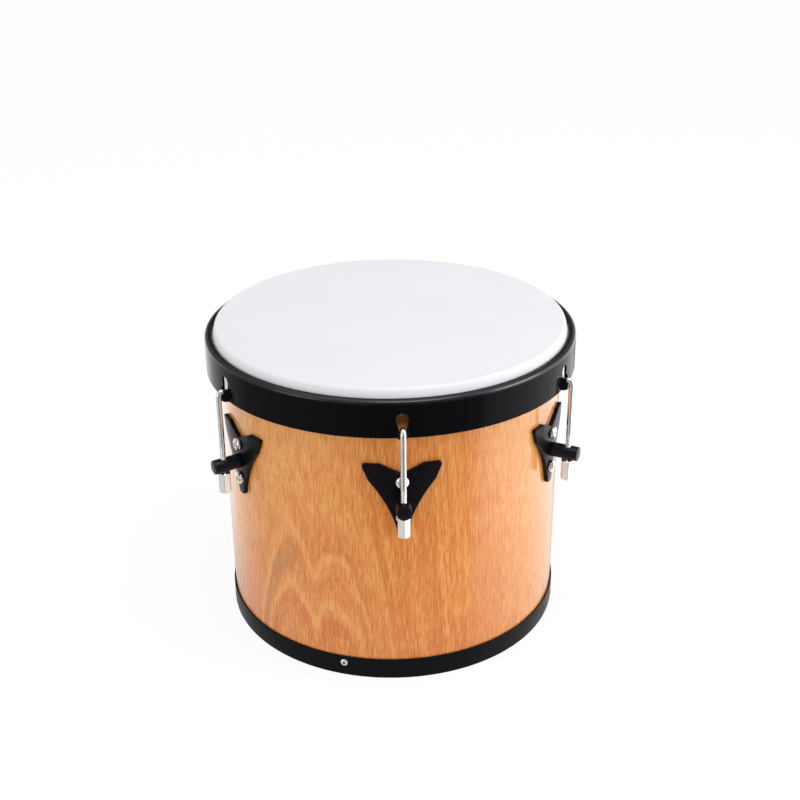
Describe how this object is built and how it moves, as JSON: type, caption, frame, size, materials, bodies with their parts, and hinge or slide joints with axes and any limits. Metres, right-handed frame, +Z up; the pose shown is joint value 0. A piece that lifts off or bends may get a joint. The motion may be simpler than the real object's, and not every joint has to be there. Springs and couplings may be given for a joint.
{
  "type": "repinique",
  "caption": "Single-headed wooden hand drum with a white film head, a deep black hoop, hook tension rods and lugs.",
  "frame": {"origin": "on the drum's axis, in the plane that the drum stands on", "axes": "+Z up along the drum's axis, -Y through the first lug, +X to its right"},
  "size_m": [0.3296, 0.3624, 0.28],
  "materials": {
    "veneer": "gloss varnish over vertical-grain veneer",
    "film": "smooth coated white film",
    "flesh_hoop": "mill",
    "hoop": "gloss black",
    "band": "satin black",
    "rivet": "bright",
    "lug": "satin black",
    "post": "satin black",
    "rod": "bright nickel",
    "nut": "bright nickel",
    "screw": "bright nickel",
    "inner_nut": "zinc plated"
  },
  "bodies": {
    "drum": {"shell": "veneer", "drumhead": "film", "rim_band": "band", "rim_rivet_1": "rivet", "rim_rivet_2": "rivet", "rim_rivet_3": "rivet", "lug_plate_1": "lug", "lug_plate_2": "lug", "lug_plate_3": "lug", "lug_plate_4": "lug", "lug_plate_5": "lug", "lug_plate_6": "lug", "lug_post_1": "post", "lug_post_2": "post", "lug_post_3": "post", "lug_post_4": "post", "lug_post_5": "post", "lug_post_6": "post", "upper_screw_1": "screw", "upper_screw_2": "screw", "upper_screw_3": "screw", "upper_screw_4": "screw", "upper_screw_5": "screw", "upper_screw_6": "screw", "lower_screw_1": "screw", "lower_screw_2": "screw", "lower_screw_3": "screw", "lower_screw_4": "screw", "lower_screw_5": "screw", "lower_screw_6": "screw", "upper_inner_nut_1": "inner_nut", "upper_inner_nut_2": "inner_nut", "upper_inner_nut_3": "inner_nut", "upper_inner_nut_4": "inner_nut", "upper_inner_nut_5": "inner_nut", "upper_inner_nut_6": "inner_nut", "lower_inner_nut_1": "inner_nut", "lower_inner_nut_2": "inner_nut", "lower_inner_nut_3": "inner_nut", "lower_inner_nut_4": "inner_nut", "lower_inner_nut_5": "inner_nut", "lower_inner_nut_6": "inner_nut"},
    "hoop": {"counter_hoop": "hoop", "flesh_hoop": "flesh_hoop", "hook_rod_1": "rod", "hook_rod_2": "rod", "hook_rod_3": "rod", "hook_rod_4": "rod", "hook_rod_5": "rod", "hook_rod_6": "rod"},
    "nut_1": {"tension_nut_1": "nut"},
    "nut_2": {"tension_nut_2": "nut"},
    "nut_3": {"tension_nut_3": "nut"},
    "nut_4": {"tension_nut_4": "nut"},
    "nut_5": {"tension_nut_5": "nut"},
    "nut_6": {"tension_nut_6": "nut"}
  },
  "joints": [
    {"name": "hoop_slide", "type": "slide", "parent": "drum", "child": "hoop", "axis": [0, 0, 1], "range_m": [-0.002, 0.003], "deforming": ["drumhead"]},
    {"name": "nut_1_turn", "type": "hinge", "parent": "drum", "child": "nut_1", "pos_m": [0, -0.1716, 0.1653], "axis": [0, 0, 1], "range_deg": [-1355, 905]},
    {"name": "nut_2_turn", "type": "hinge", "parent": "drum", "child": "nut_2", "pos_m": [0.14861, -0.0858, 0.1653], "axis": [0, 0, 1], "range_deg": [-1355, 905]},
    {"name": "nut_3_turn", "type": "hinge", "parent": "drum", "child": "nut_3", "pos_m": [0.14861, 0.0858, 0.1653], "axis": [0, 0, 1], "range_deg": [-1355, 905]},
    {"name": "nut_4_turn", "type": "hinge", "parent": "drum", "child": "nut_4", "pos_m": [0, 0.1716, 0.1653], "axis": [0, 0, 1], "range_deg": [-1355, 905]},
    {"name": "nut_5_turn", "type": "hinge", "parent": "drum", "child": "nut_5", "pos_m": [-0.14861, 0.0858, 0.1653], "axis": [0, 0, 1], "range_deg": [-1355, 905]},
    {"name": "nut_6_turn", "type": "hinge", "parent": "drum", "child": "nut_6", "pos_m": [-0.14861, -0.0858, 0.1653], "axis": [0, 0, 1], "range_deg": [-1355, 905]}
  ],
  "couplings": [
    {"joint": "nut_1_turn", "follows": "hoop_slide", "rad_per_m": -7854},
    {"joint": "nut_2_turn", "follows": "hoop_slide", "rad_per_m": -7854},
    {"joint": "nut_3_turn", "follows": "hoop_slide", "rad_per_m": -7854},
    {"joint": "nut_4_turn", "follows": "hoop_slide", "rad_per_m": -7854},
    {"joint": "nut_5_turn", "follows": "hoop_slide", "rad_per_m": -7854},
    {"joint": "nut_6_turn", "follows": "hoop_slide", "rad_per_m": -7854}
  ]
}
